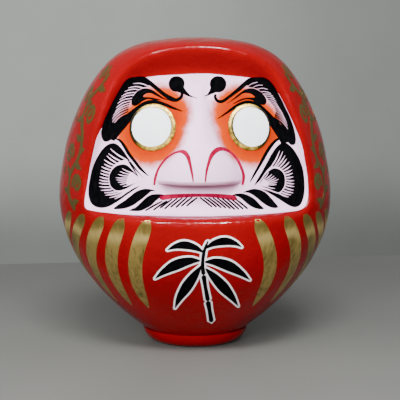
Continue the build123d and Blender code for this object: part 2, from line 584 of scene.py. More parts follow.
def body_mesh():
    """Both half shells as one closed mesh, without the faces where they meet."""
    joined = bmesh.new()
    for node in ("front_shell", "rear_shell"):
        joined.from_mesh(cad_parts[node].data)
    meeting = [f for f in joined.faces if all(abs(v.co.y) < 1e-6 for v in f.verts)]
    bmesh.ops.delete(joined, geom=meeting, context="FACES")
    bmesh.ops.remove_doubles(joined, verts=joined.verts, dist=2e-5)
    return remeshed(mesh_of(joined, "body"), SKIN_VOXEL, SKIN_SMOOTHINGS)


def half_skin(name, node, side):
    """One closed half of the skin, cut at the seam."""
    half = bmesh.new()
    half.from_mesh(skin)
    seam = cut_closed(half, (0, 0, 0), (0, side, 0), clear_inner=True)
    bmesh.ops.recalc_face_normals(half, faces=half.faces)
    for edge in seam:
        edge.smooth = False
    piece = add_piece(name, mesh_of(half, name), LACQUER)
    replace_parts(piece, node)


skin = body_mesh()
push(skin, lambda at: wave(at) * SKIN_WAVE - SKIN_INSET)
skin_tree = tree_of(skin)
half_skin("front_skin", "front_shell", -1)
half_skin("rear_skin", "rear_shell", 1)

# ---- white ground over the recess and nose ----
FACE_VOXEL, FACE_SMOOTHINGS = 0.85, 2
# The block of skin round the face: in front of this depth and above this height, in metres.
FACE_BLOCK_Y, FACE_BLOCK_Z = -0.03, 0.100


def face_mesh():
    """The skin round the face and the nose as one smooth surface."""
    block = bmesh.new()
    block.from_mesh(skin)
    cut_closed(block, (0, FACE_BLOCK_Y, 0), (0, 1, 0), clear_outer=True)
    cut_closed(block, (0, 0, FACE_BLOCK_Z), (0, 0, -1), clear_outer=True)
    block.from_mesh(welded_nose("nose_only"))
    return remeshed(mesh_of(block, "face"), FACE_VOXEL, FACE_SMOOTHINGS)


def sheet_ray(u, v):
    """The direction from the viewpoint to a point of the drawing sheet."""
    target = SHEET_AT + (RIGHT * u + UP * v) * MM
    return (target - CAMERA_AT).normalized()


face = face_mesh()
face_tree = tree_of(face)


def recess_direction(p):
    """Where a point lies as seen from in front of the face."""
    depth = max(p.y - RECESS_VIEW.y, 1e-4)
    return (p.x - RECESS_VIEW.x) / depth, (p.z - RECESS_VIEW.z) / depth


# Outline of the white ground as directions across and up from RECESS_VIEW.
GROUND = [
    (0.018, 0.289), (0.12, 0.281), (0.229, 0.266), (0.272, 0.257), (0.319, 0.228), (0.363, 0.186),
    (0.431, 0.071), (0.476, -0.023), (0.494, -0.107), (0.508, -0.224), (0.512, -0.307),
    (0.490, -0.343), (0.430, -0.364), (0.366, -0.379), (0.24, -0.394), (0.10, -0.403),
    (-0.10, -0.403), (-0.24, -0.394), (-0.366, -0.380), (-0.430, -0.364), (-0.503, -0.340),
    (-0.530, -0.317), (-0.523, -0.256), (-0.507, -0.186), (-0.486, -0.079), (-0.464, 0.004),
    (-0.426, 0.064), (-0.378, 0.149), (-0.333, 0.217), (-0.285, 0.256), (-0.24, 0.266),
    (-0.12, 0.282),
]


def edge_distances(points, polygon):
    """Signed distance of each flat point to a polygon, positive inside it."""
    xs, ys = points[:, 0], points[:, 1]
    nearest = np.full(len(points), 1e9)
    within = np.zeros(len(points), bool)
    for (x0, y0), (x1, y1) in sides(polygon):
        dx, dy = x1 - x0, y1 - y0
        t = np.clip(((xs - x0) * dx + (ys - y0) * dy) / (dx * dx + dy * dy + 1e-12), 0, 1)
        nearest = np.minimum(nearest, np.hypot(xs - x0 - t * dx, ys - y0 - t * dy))
        if dy:
            within ^= ((y0 > ys) != (y1 > ys)) & (xs < x0 + (ys - y0) / dy * dx)
    return np.where(within, nearest, -nearest)


# How far the white ground's edge wavers, how often in a metre, and the least distance that a
# point has from it.
EDGE_WAVER, EDGE_WAVES, EDGE_LEAST = 0.0018, 70.0, 2e-4
# A point of the white ground.
GROUND_START = Vector((0.0, -0.06, 0.190))


def clipped(mesh, tree, polygon, start):
    """The part of a surface inside the polygon that joins on to a point: hits and triangles."""
    flat = np.array([recess_direction(v.co) for v in mesh.vertices])
    inner = edge_distances(flat, polygon)
    inner += np.array([noise.noise(v.co * EDGE_WAVES) for v in mesh.vertices]) * EDGE_WAVER
    inner[abs(inner) < EDGE_LEAST] = EDGE_LEAST
    triangles = []
    for p in mesh.polygons:
        ids = list(p.vertices)
        triangles += [(ids[0], ids[k], ids[k + 1]) for k in range(1, len(ids) - 1)]
    touching = {}
    for i, t in enumerate(triangles):
        for v in t:
            if inner[v] > 0:
                touching.setdefault(v, []).append(i)
    seed_at = tree.ray_cast(RECESS_VIEW, (start - RECESS_VIEW).normalized())[0]
    seed = min(touching, key=lambda v: (mesh.vertices[v].co - seed_at).length)
    reached, waiting, chosen = {seed}, [seed], set()
    while waiting:
        for i in touching[waiting.pop()]:
            chosen.add(i)
            for v in triangles[i]:
                if inner[v] > 0 and v not in reached:
                    reached.add(v)
                    waiting.append(v)
    hits, index = [], {}

    def corner(v):
        if v not in index:
            index[v] = len(hits)
            hits.append((mesh.vertices[v].co.copy(), Vector(mesh.vertex_normals[v].vector)))
        return index[v]

    def crossing(a, b):
        key = (min(a, b), max(a, b))
        if key not in index:
            index[key] = len(hits)
            low, high = key
            t = inner[low] / (inner[low] - inner[high])
            at = mesh.vertices[low].co.lerp(mesh.vertices[high].co, t)
            normal = mesh.vertex_normals[low].vector.lerp(mesh.vertex_normals[high].vector, t)
            hits.append((at, normal.normalized()))
        return index[key]

    made = []
    for i in sorted(chosen):
        t = triangles[i]
        ring = []
        for a, b in sides(t):
            if inner[a] > 0:
                ring.append(corner(a))
            if (inner[a] > 0) != (inner[b] > 0):
                ring.append(crossing(a, b))
        made += [(ring[0], ring[k], ring[k + 1]) for k in range(1, len(ring) - 1)]
    return hits, made


ground_hits, ground_triangles = clipped(face, face_tree, outline(GROUND, 6), GROUND_START)
layer("face_ground", ground_hits, ground_triangles, WHITE, GROUND_LIFT, GROUND_SINK)
ground_tree = BVHTree.FromPolygons(
    [at + normal * GROUND_LIFT * MM for at, normal in ground_hits], ground_triangles
)
# Roughly how far the face is from the viewpoint, and a start for rays from outside the body.
FACE_DISTANCE, OUTSIDE = 0.99, 0.3


def on_face(u, v):
    """Where a point of the drawing sheet falls on the white ground, or beside it."""
    ray = sheet_ray(u, v)
    at, normal, _, _ = ground_tree.ray_cast(CAMERA_AT, ray)
    if at is None:
        at, normal, _, _ = face_tree.ray_cast(CAMERA_AT, ray)
        if at is None:
            at, normal, _, _ = face_tree.find_nearest(CAMERA_AT + ray * FACE_DISTANCE)
        at = at + normal * GROUND_LIFT * MM
    return at, normal


def on_belly(u, v):
    """Where a point of the drawing sheet falls on the lacquer."""
    return skin_tree.ray_cast(CAMERA_AT, sheet_ray(u, v))[:2]


def on_side(s, z):
    """Where a point wrapped round the body falls: millimetres round it and up it."""
    angle = s / WRAP_RADIUS
    out = Vector((math.sin(angle), -math.cos(angle), 0.0))
    return skin_tree.ray_cast(out * OUTSIDE + Vector((0, 0, z * MM)), -out)[:2]


# ---- nose core under the ground ----
CORE_VOXEL, CORE_SMOOTHINGS, CORE_INSET = 1.1, 6, 0.5
core = remeshed(welded_nose("nose_core"), CORE_VOXEL, CORE_SMOOTHINGS)
push(core, lambda at: -CORE_INSET)
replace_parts(add_piece("nose_core", core, WHITE), "nose")

# ---- eyes ----
def eye_height(r):
    """Height of the domed eye above its plane, rounded over at the edge, in millimetres."""
    if r <= EYE_FLAT_R:
        return EYE_TOP - r * r / (2 * EYE_DOME_R)
    turn = min((r - EYE_FLAT_R) / EYE_EDGE_R, 1.0)
    return eye_height(EYE_FLAT_R) - EYE_EDGE_R * (1 - math.sqrt(max(1 - turn * turn, 0)))


def eye_point(side, angle, r, h):
    """A point of an eye, by angle and distance round its axis and height out of its plane."""
    at, out = EYES[side]
    across = (Vector((1, 0, 0)) - out * out.x).normalized()
    wide = EYE_ACROSS[side] * math.cos(angle) * r
    return at + (across * wide + out.cross(across) * math.sin(angle) * r + out * h) * MM


def eye_disc(side):
    """A closed turned disc from EYE_ROWS, whose first and last rows are its middles."""
    verts = [eye_point(side, 0, 0, EYE_ROWS[0][1])]
    for r, h in EYE_ROWS[1:-1]:
        verts += [eye_point(side, 2 * math.pi * k / EYE_SIDES, r, h) for k in range(EYE_SIDES)]
    verts.append(eye_point(side, 0, 0, EYE_ROWS[-1][1]))
    turn = [(k, (k + 1) % EYE_SIDES) for k in range(EYE_SIDES)]
    faces = [(0, 1 + k, 1 + n) for k, n in turn]
    last, end = len(verts) - 1 - EYE_SIDES, len(verts) - 1
    for a in range(1, last, EYE_SIDES):
        b = a + EYE_SIDES
        faces += [(a + k, b + k, b + n, a + n) for k, n in turn]
    faces += [(end, last + n, last + k) for k, n in turn]
    new_piece(f"eye_{side}", verts, faces, EYE_WHITE)


def ring_width(side, angle):
    """How wide the gilding is at an angle."""
    seed, widths = RINGS[side]
    degrees = math.degrees(angle)
    before = max((row for row in widths if row[0] <= degrees), key=lambda row: row[0])
    after = min((row for row in widths if row[0] > degrees), key=lambda row: row[0])
    t = (degrees - before[0]) / (after[0] - before[0])
    wide = before[1] + (after[1] - before[1]) * (t * t * (3 - 2 * t))
    place = Vector((math.cos(angle) * RING_GRAIN, math.sin(angle) * RING_GRAIN, seed))
    return wide + RING_WAVER * noise.noise(place)


def gold_ring(side):
    """Gilding over an eye's rounded edge and down its side."""
    verts, faces = [], []
    for k in range(RING_SIDES):
        angle = 2 * math.pi * k / RING_SIDES
        inner = min(EYE_R - ring_width(side, angle), EYE_FLAT_R - RING_LEAST)
        flat = [inner + (EYE_FLAT_R - inner) * j / RING_STEPS for j in range(RING_STEPS)]
        rows = [(r, eye_height(r) + RING_COAT) for r in flat]
        for j in range(RING_STEPS + 1):
            bend = math.pi / 2 * j / RING_STEPS
            rows.append((
                EYE_FLAT_R + (EYE_EDGE_R + RING_COAT) * math.sin(bend),
                eye_height(EYE_R) + (EYE_EDGE_R + RING_COAT) * math.cos(bend),
            ))
        rows += [(EYE_R + RING_SPREAD, RING_BACK), (EYE_R - RING_LAP, RING_BACK)]
        rows.append((inner, eye_height(inner) - RING_DEPTH))
        verts += [eye_point(side, angle, r, h) for r, h in rows]
    width = len(verts) // RING_SIDES
    for k in range(RING_SIDES):
        a, b = k * width, (k + 1) % RING_SIDES * width
        faces += [(a + j, a + n, b + n, b + j) for j, n in sides(list(range(width)))]
    new_piece(f"eye_ring_{side}", verts, faces, BRIGHT_GOLD)


EYE_SIDES = 72
# The eye's side wall, from its top to its hidden back, and the radius inside which the back closes.
EYE_WALL_TOP, EYE_BACK, EYE_BACK_R = 0.4, -3.0, 8.0
EYE_RADII = (0, 3, 6, 9, 12, 14.5, 16.6, 16.95, 17.25, 17.5, 17.7, EYE_R)
EYE_ROWS = [(r, eye_height(r)) for r in EYE_RADII]
EYE_ROWS += [(EYE_R, EYE_WALL_TOP), (EYE_R, EYE_BACK), (EYE_BACK_R, EYE_BACK), (0, EYE_BACK)]
RING_SIDES, RING_STEPS = 120, 4
# How far the gilding stands out of the eye, sinks into it, spreads at the bottom of its side, and
# how low that is; the least of it on the flat, how far it laps under the eye, and its unevenness.
RING_COAT, RING_DEPTH, RING_SPREAD, RING_BACK = 0.16, 0.25, 0.45, -3.2
RING_LEAST, RING_LAP, RING_WAVER, RING_GRAIN = 0.2, 1.0, 0.22, 6
# Each ring's seed, and its width in millimetres at angles in degrees.
RINGS = {
    "left": (20.0, [
        (0, 3.2), (40, 3.2), (80, 3.0), (120, 2.3), (160, 1.9), (200, 2.0), (235, 2.7),
        (270, 3.0), (310, 3.0), (360, 3.2),
    ]),
    "right": (25.0, [
        (0, 1.5), (40, 1.6), (80, 2.7), (120, 3.1), (160, 3.3), (200, 3.4), (240, 3.3),
        (280, 2.6), (320, 1.8), (360, 1.5),
    ]),
}
for side in EYES:
    eye_disc(side)
for side in EYES:
    gold_ring(side)

# ---- orange airbrush ----
# Middles of the airbrushing on the drawing sheet: one on each eye, and one above each.
GLOW_CENTRES = ((-36.0, -1.0), (39.0, -1.0), (-29.0, 10.0), (32.0, 10.0))
ORANGE = orange_glow([
    ground_tree.ray_cast(CAMERA_AT, sheet_ray(u, v))[0] for u, v in GLOW_CENTRES
])
GLOW_LEFT = [
    (-62.0, -7.4), (-58.0, -9.9), (-53.5, -14.6), (-49.0, -21.1), (-44.5, -27.5), (-40.6, -32.5),
    (-30.0, -34.5), (-16.0, -31.0), (-5.0, -18.0), (-3.4, 0.0), (-1.5, 12.0), (-2.5, 22.0),
    (-8.0, 31.0), (-18.0, 35.0), (-28.0, 36.0), (-34.0, 35.8),
    (-41.0, 34.5), (-46.0, 33.5), (-51.2, 29.4), (-54.5, 25.1), (-57.7, 19.7), (-60.4, 15.4),
    (-62.8, 6.8), (-62.6, 4.1), (-60.4, 1.2), (-59.6, -3.0),
]
GLOW_RIGHT = [
    (60.5, -7.8), (55.3, -10.6), (51.1, -15.7), (47.4, -22.1), (43.8, -29.4), (41.6, -33.6),
    (32.0, -34.5), (18.0, -31.0), (7.5, -18.0), (6.0, 0.0), (4.5, 12.0), (5.5, 22.0),
    (11.0, 31.0), (21.0, 35.0), (30.0, 35.8), (35.0, 35.4),
    (38.2, 33.4), (42.7, 33.5), (46.6, 31.3), (51.1, 27.4), (54.7, 22.9), (57.8, 18.4),
    (60.6, 12.8), (64.0, 3.3), (64.4, -0.1), (62.6, -3.4),
]
GLOW_LIFT, GLOW_SINK = 0.05, 0.08
for side, edge in (("left", GLOW_LEFT), ("right", GLOW_RIGHT)):
    paint(f"glow_{side}", [edge], on_face, ORANGE, lift=GLOW_LIFT, sink=GLOW_SINK)

# ---- brows and eyelids ----
# Where each white gap between brow hairs starts inside the mass, and where it opens.
GAP_ROOT_LEFT = [
    (-48.4, 32.5), (-51.8, 29.3), (-54.5, 26.6), (-56.8, 23.2), (-58.1, 20.7), (-59.7, 18.0),
    (-60.7, 14.8), (-61.4, 11.9), (-62.9, 9.1), (-63.5, 6.6), (-63.5, 4.3), (-62.7, 2.8),
    (-61.0, 0.7),
]
GAP_END_LEFT = [
    (-37.1, 30.6), (-41.3, 29.5), (-44.2, 28.1), (-46.7, 26.0), (-48.2, 24.1), (-49.2, 21.7),
    (-49.9, 19.9), (-50.9, 18.0), (-51.5, 16.3), (-51.8, 14.7), (-52.0, 12.8), (-52.3, 11.0),
    (-50.9, 9.1),
]
GAP_ROOT_RIGHT = [
    (42.8, 33.5), (46.6, 31.4), (50.2, 28.3), (52.7, 25.1), (54.2, 23.2), (55.5, 21.3),
    (56.5, 19.4), (57.5, 17.1), (58.6, 15.0), (59.9, 12.7), (61.3, 10.4), (62.3, 8.1),
    (63.3, 6.0), (64.2, 3.9), (64.7, 1.6), (65.0, -0.7), (63.2, -2.2), (61.3, -1.6),
    (59.2, -0.7),
]
GAP_END_RIGHT = [
    (35.7, 30.4), (39.0, 29.5), (42.8, 28.5), (45.3, 26.6), (47.4, 24.9), (48.8, 23.4),
    (49.9, 21.7), (51.2, 20.1), (52.5, 18.6), (53.7, 17.1), (55.0, 15.7), (56.0, 13.8),
    (56.3, 12.1), (56.0, 10.4), (55.6, 9.1), (55.2, 7.9), (54.8, 6.4), (55.0, 4.7), (55.6, 3.7),
]
# Each mass's inner edge runs this far from the open ends of its gaps.
MASS_MARGIN = 0.3
BROW_LEFT = [
    (-37.8, 35.3), (-41.6, 36.8), (-46.2, 37.5), (-51.4, 36.4), (-55.2, 33.0), (-59.1, 26.8),
    (-63.4, 19.0), (-66.9, 11.6), (-70.0, 4.6), (-71.7, -2.5), (-70.8, -8.2), (-67.9, -10.1),
    (-63.6, -7.9), (-59.3, -3.4), (-55.5, 1.5), (-53.5, 6.5),
    *[(round(x + MASS_MARGIN, 1), y) for x, y in GAP_END_LEFT[-2::-1]],
    (-37.0, 32.6),
]
BROW_RIGHT = [
    (37.7, 36.0), (41.6, 37.0), (46.4, 37.2), (50.8, 35.4), (54.7, 31.2), (57.9, 25.8),
    (61.2, 19.7), (64.8, 11.9), (68.1, 4.0), (70.1, -2.9), (70.9, -8.5), (70.1, -11.8),
    (67.3, -12.4), (64.5, -9.6), (61.7, -6.8), (57.5, -0.5), (54.8, 3.8),
    *[(round(x - MASS_MARGIN, 1), y) for x, y in GAP_END_RIGHT[-2::-1]],
    (36.6, 33.6),
]
LID_LEFT = [
    (-65.7, -5.5, 8.1), (-59.3, 0.4, 6.4), (-53.4, 5.8, 4.8), (-48.6, 10.6, 3.5),
    (-44.8, 14.1, 2.7), (-40.5, 17.3, 2.3), (-35.1, 19.1, 2.0), (-29.8, 18.6, 1.8),
    (-24.4, 16.9, 1.6), (-19.0, 14.6, 1.3), (-11.8, 12.1, 0.2),
]
LID_RIGHT = [
    (13.6, 6.8, 0.3), (20.3, 11.1, 1.1), (25.9, 15.1, 1.6), (30.4, 17.6, 1.8), (34.9, 18.7, 2.0),
    (39.3, 18.1, 2.2), (43.8, 15.6, 2.8), (47.7, 11.7, 3.4), (51.7, 7.2, 4.0), (55.6, 2.2, 4.9),
    (59.5, -2.3, 6.2), (64.5, -7.9, 8.4),
]
HOOK_LEFT = [
    (-12.5, 25.6, 1.7), (-13.0, 22.7, 1.9), (-16.3, 20.5, 2.0), (-20.1, 21.2, 2.8),
    (-25.5, 24.5, 2.3), (-30.8, 28.8, 2.5), (-36.2, 33.1, 2.8), (-40.5, 35.6, 3.2),
    (-45.5, 36.2, 2.6),
]
HOOK_RIGHT = [
    (12.0, 24.3, 1.6), (11.9, 21.8, 1.7), (13.9, 19.6, 1.8), (16.9, 19.4, 1.9), (20.3, 21.5, 1.8),
    (24.8, 24.9, 2.0), (29.3, 28.5, 2.5), (33.7, 32.3, 2.9), (37.7, 34.8, 3.3), (43.0, 35.6, 2.6),
]
BEAK_LEFT = [
    (-15.0, 29.6, 7.0), (-12.2, 27.4, 4.6), (-9.9, 25.6, 3.0), (-6.7, 23.5, 1.4), (-1.0, 21.6, 0.1),
]
BEAK_RIGHT = [
    (12.0, 29.6, 7.0), (9.7, 27.2, 4.4), (8.3, 25.9, 2.8), (6.6, 24.4, 1.4), (3.5, 23.2, 0.1),
]
BLOB_LEFT = [
    (-49.5, 18.1), (-49.1, 21.3), (-47.7, 24.0), (-45.3, 26.7), (-42.1, 28.6), (-38.4, 29.1),
    (-34.6, 28.0), (-30.3, 25.1), (-26.5, 22.4), (-22.2, 20.4), (-26.5, 21.3), (-30.8, 23.4),
    (-35.1, 25.4), (-38.4, 25.2), (-41.0, 22.9), (-37.3, 22.5), (-33.0, 21.9), (-27.6, 20.4),
    (-31.9, 20.3), (-37.3, 21.1), (-41.0, 19.7), (-43.7, 17.6), (-46.4, 16.1), (-48.6, 16.6),
]
BLOB_RIGHT = [
    (20.3, 17.9), (24.8, 21.2), (29.3, 25.1), (33.7, 28.2), (38.2, 29.1), (42.7, 27.9),
    (46.6, 25.1), (48.9, 21.8), (49.4, 19.0), (47.7, 16.9), (44.4, 17.3), (41.0, 19.0),
    (38.2, 20.5), (34.3, 20.9), (29.3, 19.3), (24.5, 17.2), (28.1, 19.8), (32.1, 21.6),
    (36.5, 22.2), (40.5, 22.3), (39.9, 23.7), (37.7, 25.0), (34.3, 25.6), (31.5, 24.9),
    (27.6, 22.1),
]


def gaps(roots, ends, widths, bow):
    """White gaps between hairs, each from a point in the mass to its open end."""
    strokes = []
    for (x0, y0), (x1, y1) in zip(roots, ends):
        mid = ((x0 + x1) / 2 - (y1 - y0) * bow, (y0 + y1) / 2 + (x1 - x0) * bow)
        beyond = (x1 + (x1 - mid[0]) * 0.35, y1 + (y1 - mid[1]) * 0.35)
        strokes.append(stroke(
            [(x0, y0, 0.3), (*mid, widths[0]), (x1, y1, widths[1]), (*beyond, widths[1])], 4
        ))
    return strokes


for side, mass, roots, ends, widths, bow in (
    ("left", BROW_LEFT, GAP_ROOT_LEFT, GAP_END_LEFT, (0.58, 0.54), 0.09),
    ("right", BROW_RIGHT, GAP_ROOT_RIGHT, GAP_END_RIGHT, (0.36, 0.32), -0.09),
):
    ink(f"brow_mass_{side}", [outline(mass)], holes=gaps(roots, ends, widths, bow))
for side, lid, hook, beak, blob, ball in (
    ("left", LID_LEFT, HOOK_LEFT, BEAK_LEFT, BLOB_LEFT, (-16.4, 32.2, 5.9)),
    ("right", LID_RIGHT, HOOK_RIGHT, BEAK_RIGHT, BLOB_RIGHT, (13.9, 32.0, 6.1)),
):
    marks = [stroke(lid, swell=1.35), stroke(hook, swell=1.2), stroke(beak)]
    ink(f"brow_{side}", [*marks, outline(blob, 3), circle(*ball)])

# ---- beard curls and leaves ----
BEARD_LEFT = [
    (-40.5, -36.4), (-43.5, -33.1), (-46.4, -29.3), (-49.6, -25.1), (-52.6, -20.8),
    (-55.5, -16.5), (-58.5, -13.1), (-62.0, -11.1), (-65.5, -11.6), (-68.7, -13.6),
    (-71.9, -17.2), (-74.6, -21.5), (-77.0, -26.4), (-78.9, -32.3), (-80.2, -39.0),
    (-80.9, -44.4), (-80.8, -49.2), (-79.7, -53.6), (-77.0, -56.9), (-72.7, -58.5),
    (-68.4, -58.2), (-64.1, -56.5), (-59.3, -53.6), (-54.5, -50.2), (-50.2, -47.2),
    (-45.9, -44.3), (-41.8, -41.6), (-42.6, -42.2), (-45.9, -43.2), (-49.1, -44.8),
    (-51.8, -46.5), (-53.7, -47.2), (-55.0, -47.4), (-57.7, -47.0), (-60.4, -46.5),
    (-63.5, -44.9), (-64.9, -43.2), (-65.8, -40.9), (-66.2, -39.0), (-66.3, -37.2),
    (-66.0, -35.0), (-65.5, -32.9), (-64.7, -31.0), (-63.7, -29.1), (-62.4, -27.5),
    (-60.5, -25.9), (-57.8, -24.4), (-53.7, -23.2), (-51.2, -24.9), (-48.6, -28.1),
    (-45.9, -31.5), (-43.5, -33.9),
]
RAY_ROOT_LEFT = [
    (-64.9, -15.2), (-66.3, -18.6), (-67.5, -20.4), (-69.4, -23.2), (-69.5, -26.3),
    (-71.3, -28.3), (-71.8, -30.9), (-72.3, -33.1), (-72.7, -35.6), (-73.0, -38.0),
    (-73.2, -40.2), (-73.1, -42.8), (-71.8, -45.6), (-69.4, -47.4), (-68.5, -49.2),
    (-65.5, -51.1), (-61.7, -51.9),
]
RAY_END_LEFT = [
    (-52.7, -23.5), (-57.5, -24.2), (-60.3, -25.7), (-62.2, -27.2), (-63.6, -28.9),
    (-64.6, -30.8), (-65.4, -32.9), (-65.9, -35.0), (-66.3, -37.2), (-66.2, -39.2),
    (-65.8, -41.0), (-64.9, -43.2), (-63.5, -44.8), (-60.3, -46.4), (-57.7, -47.0),
    (-55.0, -47.3), (-53.6, -47.1),
]
CURL_LEFT = [
    (-44.5, -35.6), (-46.7, -33.2), (-48.8, -30.8), (-51.2, -28.4), (-53.9, -26.8),
    (-57.1, -26.7), (-60.4, -27.8), (-63.0, -29.9), (-64.8, -32.6), (-65.7, -35.8),
    (-65.6, -39.0), (-64.7, -42.3), (-62.5, -44.7), (-59.8, -45.8), (-56.6, -45.5),
    (-53.4, -44.4), (-50.2, -42.6), (-46.9, -40.5), (-44.7, -39.5), (-48.6, -41.0),
    (-51.2, -41.7), (-53.1, -41.1), (-53.4, -40.0), (-53.0, -38.7), (-52.7, -37.3),
    (-52.3, -36.1), (-51.8, -35.0), (-51.0, -33.6), (-49.1, -32.5), (-46.8, -34.0),
]
CURL_ROOT_LEFT = [
    (-56.3, -29.6), (-57.9, -31.8), (-59.3, -33.9), (-60.9, -36.3), (-60.4, -38.0),
    (-59.3, -39.7), (-57.7, -41.5), (-55.8, -42.9),
]
CURL_END_LEFT = [
    (-49.1, -32.8), (-50.9, -33.9), (-51.7, -35.3), (-52.2, -36.4), (-52.6, -37.7),
    (-53.1, -39.0), (-53.4, -40.2), (-51.2, -41.6),
]
LEAVES_LEFT = (
    [
        (-62.5, -59.2), (-59.3, -56.3), (-54.5, -53.1), (-50.2, -49.8), (-46.4, -46.8),
        (-42.6, -45.1), (-38.9, -44.5), (-35.1, -44.9), (-31.9, -45.9), (-35.1, -46.5),
        (-37.8, -48.7), (-41.0, -51.4), (-44.8, -54.2), (-48.6, -56.8), (-53.4, -58.7),
        (-58.2, -59.4),
    ],
    [
        (-51.2, -60.3), (-46.9, -58.3), (-43.2, -55.2), (-39.4, -51.5), (-35.7, -49.1),
        (-31.4, -48.3), (-26.0, -48.8), (-29.2, -51.4), (-32.4, -54.1), (-35.1, -56.8),
        (-38.9, -59.0), (-42.6, -60.6), (-46.4, -60.9),
    ],
)
LINES_LEFT = (
    [
        (-62.5, -7.6, 0.4), (-58.2, -9.0, 1.7), (-54.5, -13.6, 2.3), (-51.2, -19.2, 2.4),
        (-47.0, -24.5, 2.2), (-42.6, -30.0, 2.0), (-37.0, -35.0, 0.6),
    ],
    [
        (-52.6, -22.5, 0.5), (-50.1, -26.6, 1.1), (-47.5, -30.7, 1.0), (-44.5, -35.6, 0.4),
    ],
)
BEARD_RIGHT = [
    (40.5, -42.0), (43.0, -37.0), (46.3, -31.5), (49.5, -25.6), (52.7, -19.7), (56.0, -14.8),
    (59.3, -11.6), (63.0, -10.7), (66.8, -13.2), (70.0, -16.9), (72.7, -21.2), (74.8, -26.2),
    (76.3, -31.5), (77.1, -38.0), (77.3, -44.4), (76.5, -50.9), (74.4, -55.8), (71.1, -57.9),
    (67.3, -57.4), (62.5, -54.7), (57.6, -51.5), (52.3, -48.3), (48.0, -45.9), (45.4, -44.8),
    (48.5, -45.1), (52.3, -46.1), (56.0, -47.5), (59.0, -48.1), (60.1, -46.9), (61.5, -45.5),
    (62.8, -43.6), (63.4, -41.7), (63.7, -40.0), (63.7, -38.2), (63.4, -36.4), (63.0, -34.6),
    (62.4, -32.9), (61.4, -31.3), (60.1, -29.9), (58.6, -28.8), (56.8, -28.2), (55.0, -28.3),
    (52.4, -28.3), (49.9, -30.7), (47.3, -34.2), (44.8, -38.0),
]
RAY_ROOT_RIGHT = [
    (59.0, -16.5), (61.3, -17.1), (63.0, -20.0), (64.2, -22.3), (66.0, -24.8), (67.3, -27.5),
    (68.2, -30.5), (68.6, -33.0), (69.0, -35.7), (69.6, -38.5), (69.7, -40.8), (69.7, -42.9),
    (69.2, -45.5), (68.8, -47.5), (67.3, -49.0), (65.7, -50.6),
]
RAY_END_RIGHT = [
    (52.9, -28.3), (55.1, -28.4), (56.8, -28.3), (58.6, -28.9), (60.1, -30.0), (61.4, -31.4),
    (62.4, -33.0), (63.0, -34.7), (63.4, -36.4), (63.7, -38.2), (63.7, -40.0), (63.4, -41.7),
    (62.8, -43.6), (61.5, -45.5), (60.1, -46.9), (59.0, -48.0),
]
CURL_RIGHT = [
    (44.1, -40.5), (46.3, -37.2), (48.5, -34.1), (51.2, -31.4), (54.4, -29.6), (57.6, -29.9),
    (60.3, -31.5), (62.2, -34.2), (62.9, -37.4), (62.7, -41.2), (61.4, -44.4), (58.7, -47.1),
    (55.5, -46.5), (52.3, -45.1), (49.1, -43.9), (45.6, -42.7), (49.1, -43.0), (50.9, -41.8),
    (50.8, -40.7), (50.7, -39.7), (49.3, -38.7), (48.1, -37.9), (47.0, -37.3), (45.7, -39.0),
]
CURL_ROOT_RIGHT = [
    (50.9, -32.6), (53.3, -33.8), (55.0, -35.0), (56.3, -36.4), (58.1, -37.5), (57.2, -39.7),
    (56.6, -41.3), (55.5, -44.3),
]
CURL_END_RIGHT = [
    (47.5, -36.8), (48.5, -37.7), (49.5, -38.5), (50.4, -39.2), (50.9, -39.8), (50.9, -40.5),
    (50.8, -41.5), (49.3, -42.8),
]
LEAVES_RIGHT = (
    [
        (32.4, -47.2), (35.6, -45.5), (40.5, -44.5), (45.3, -45.5), (49.1, -47.6), (52.3, -50.9),
        (55.5, -54.6), (57.9, -58.1), (53.9, -58.5), (49.6, -56.8), (45.8, -54.2), (42.1, -51.0),
        (38.3, -48.3), (35.1, -47.2),
    ],
    [
        (24.4, -49.2), (27.6, -48.0), (31.9, -48.0), (36.2, -49.4), (40.5, -51.9), (44.2, -55.7),
        (47.4, -59.2), (43.1, -59.3), (38.8, -57.8), (35.1, -55.3), (30.8, -51.5), (27.6, -49.9),
    ],
)
LINES_RIGHT = (
    [
        (59.4, -7.3, 1.4), (56.3, -9.1, 1.9), (53.1, -12.5, 2.3), (50.0, -17.0, 2.4),
        (47.0, -22.4, 2.3), (43.7, -28.3, 2.0), (40.5, -33.8, 1.6), (37.2, -39.6, 0.5),
    ],
)


def beard(name, mass, rays, curl, curl_rays, leaves, lines, bow):
    """A curl of beard: a dark mass cut by white rays, a smaller curl inside it, and leaves."""
    ink(f"{name}_mass", [outline(mass)], holes=gaps(*rays, (0.95, 0.8), bow))
    ink(f"{name}_curl", [outline(curl)], holes=gaps(*curl_rays, (0.65, 0.6), bow))
    others = [outline(leaf) for leaf in leaves] + [stroke(line) for line in lines]
    ink(f"{name}_leaves", others, step=PAINT_STEP)


beard("beard_left", BEARD_LEFT, (RAY_ROOT_LEFT, RAY_END_LEFT),
      CURL_LEFT, (CURL_ROOT_LEFT, CURL_END_LEFT), LEAVES_LEFT, LINES_LEFT, -0.04)
beard("beard_right", BEARD_RIGHT, (RAY_ROOT_RIGHT, RAY_END_RIGHT),
      CURL_RIGHT, (CURL_ROOT_RIGHT, CURL_END_RIGHT), LEAVES_RIGHT, LINES_RIGHT, 0.04)

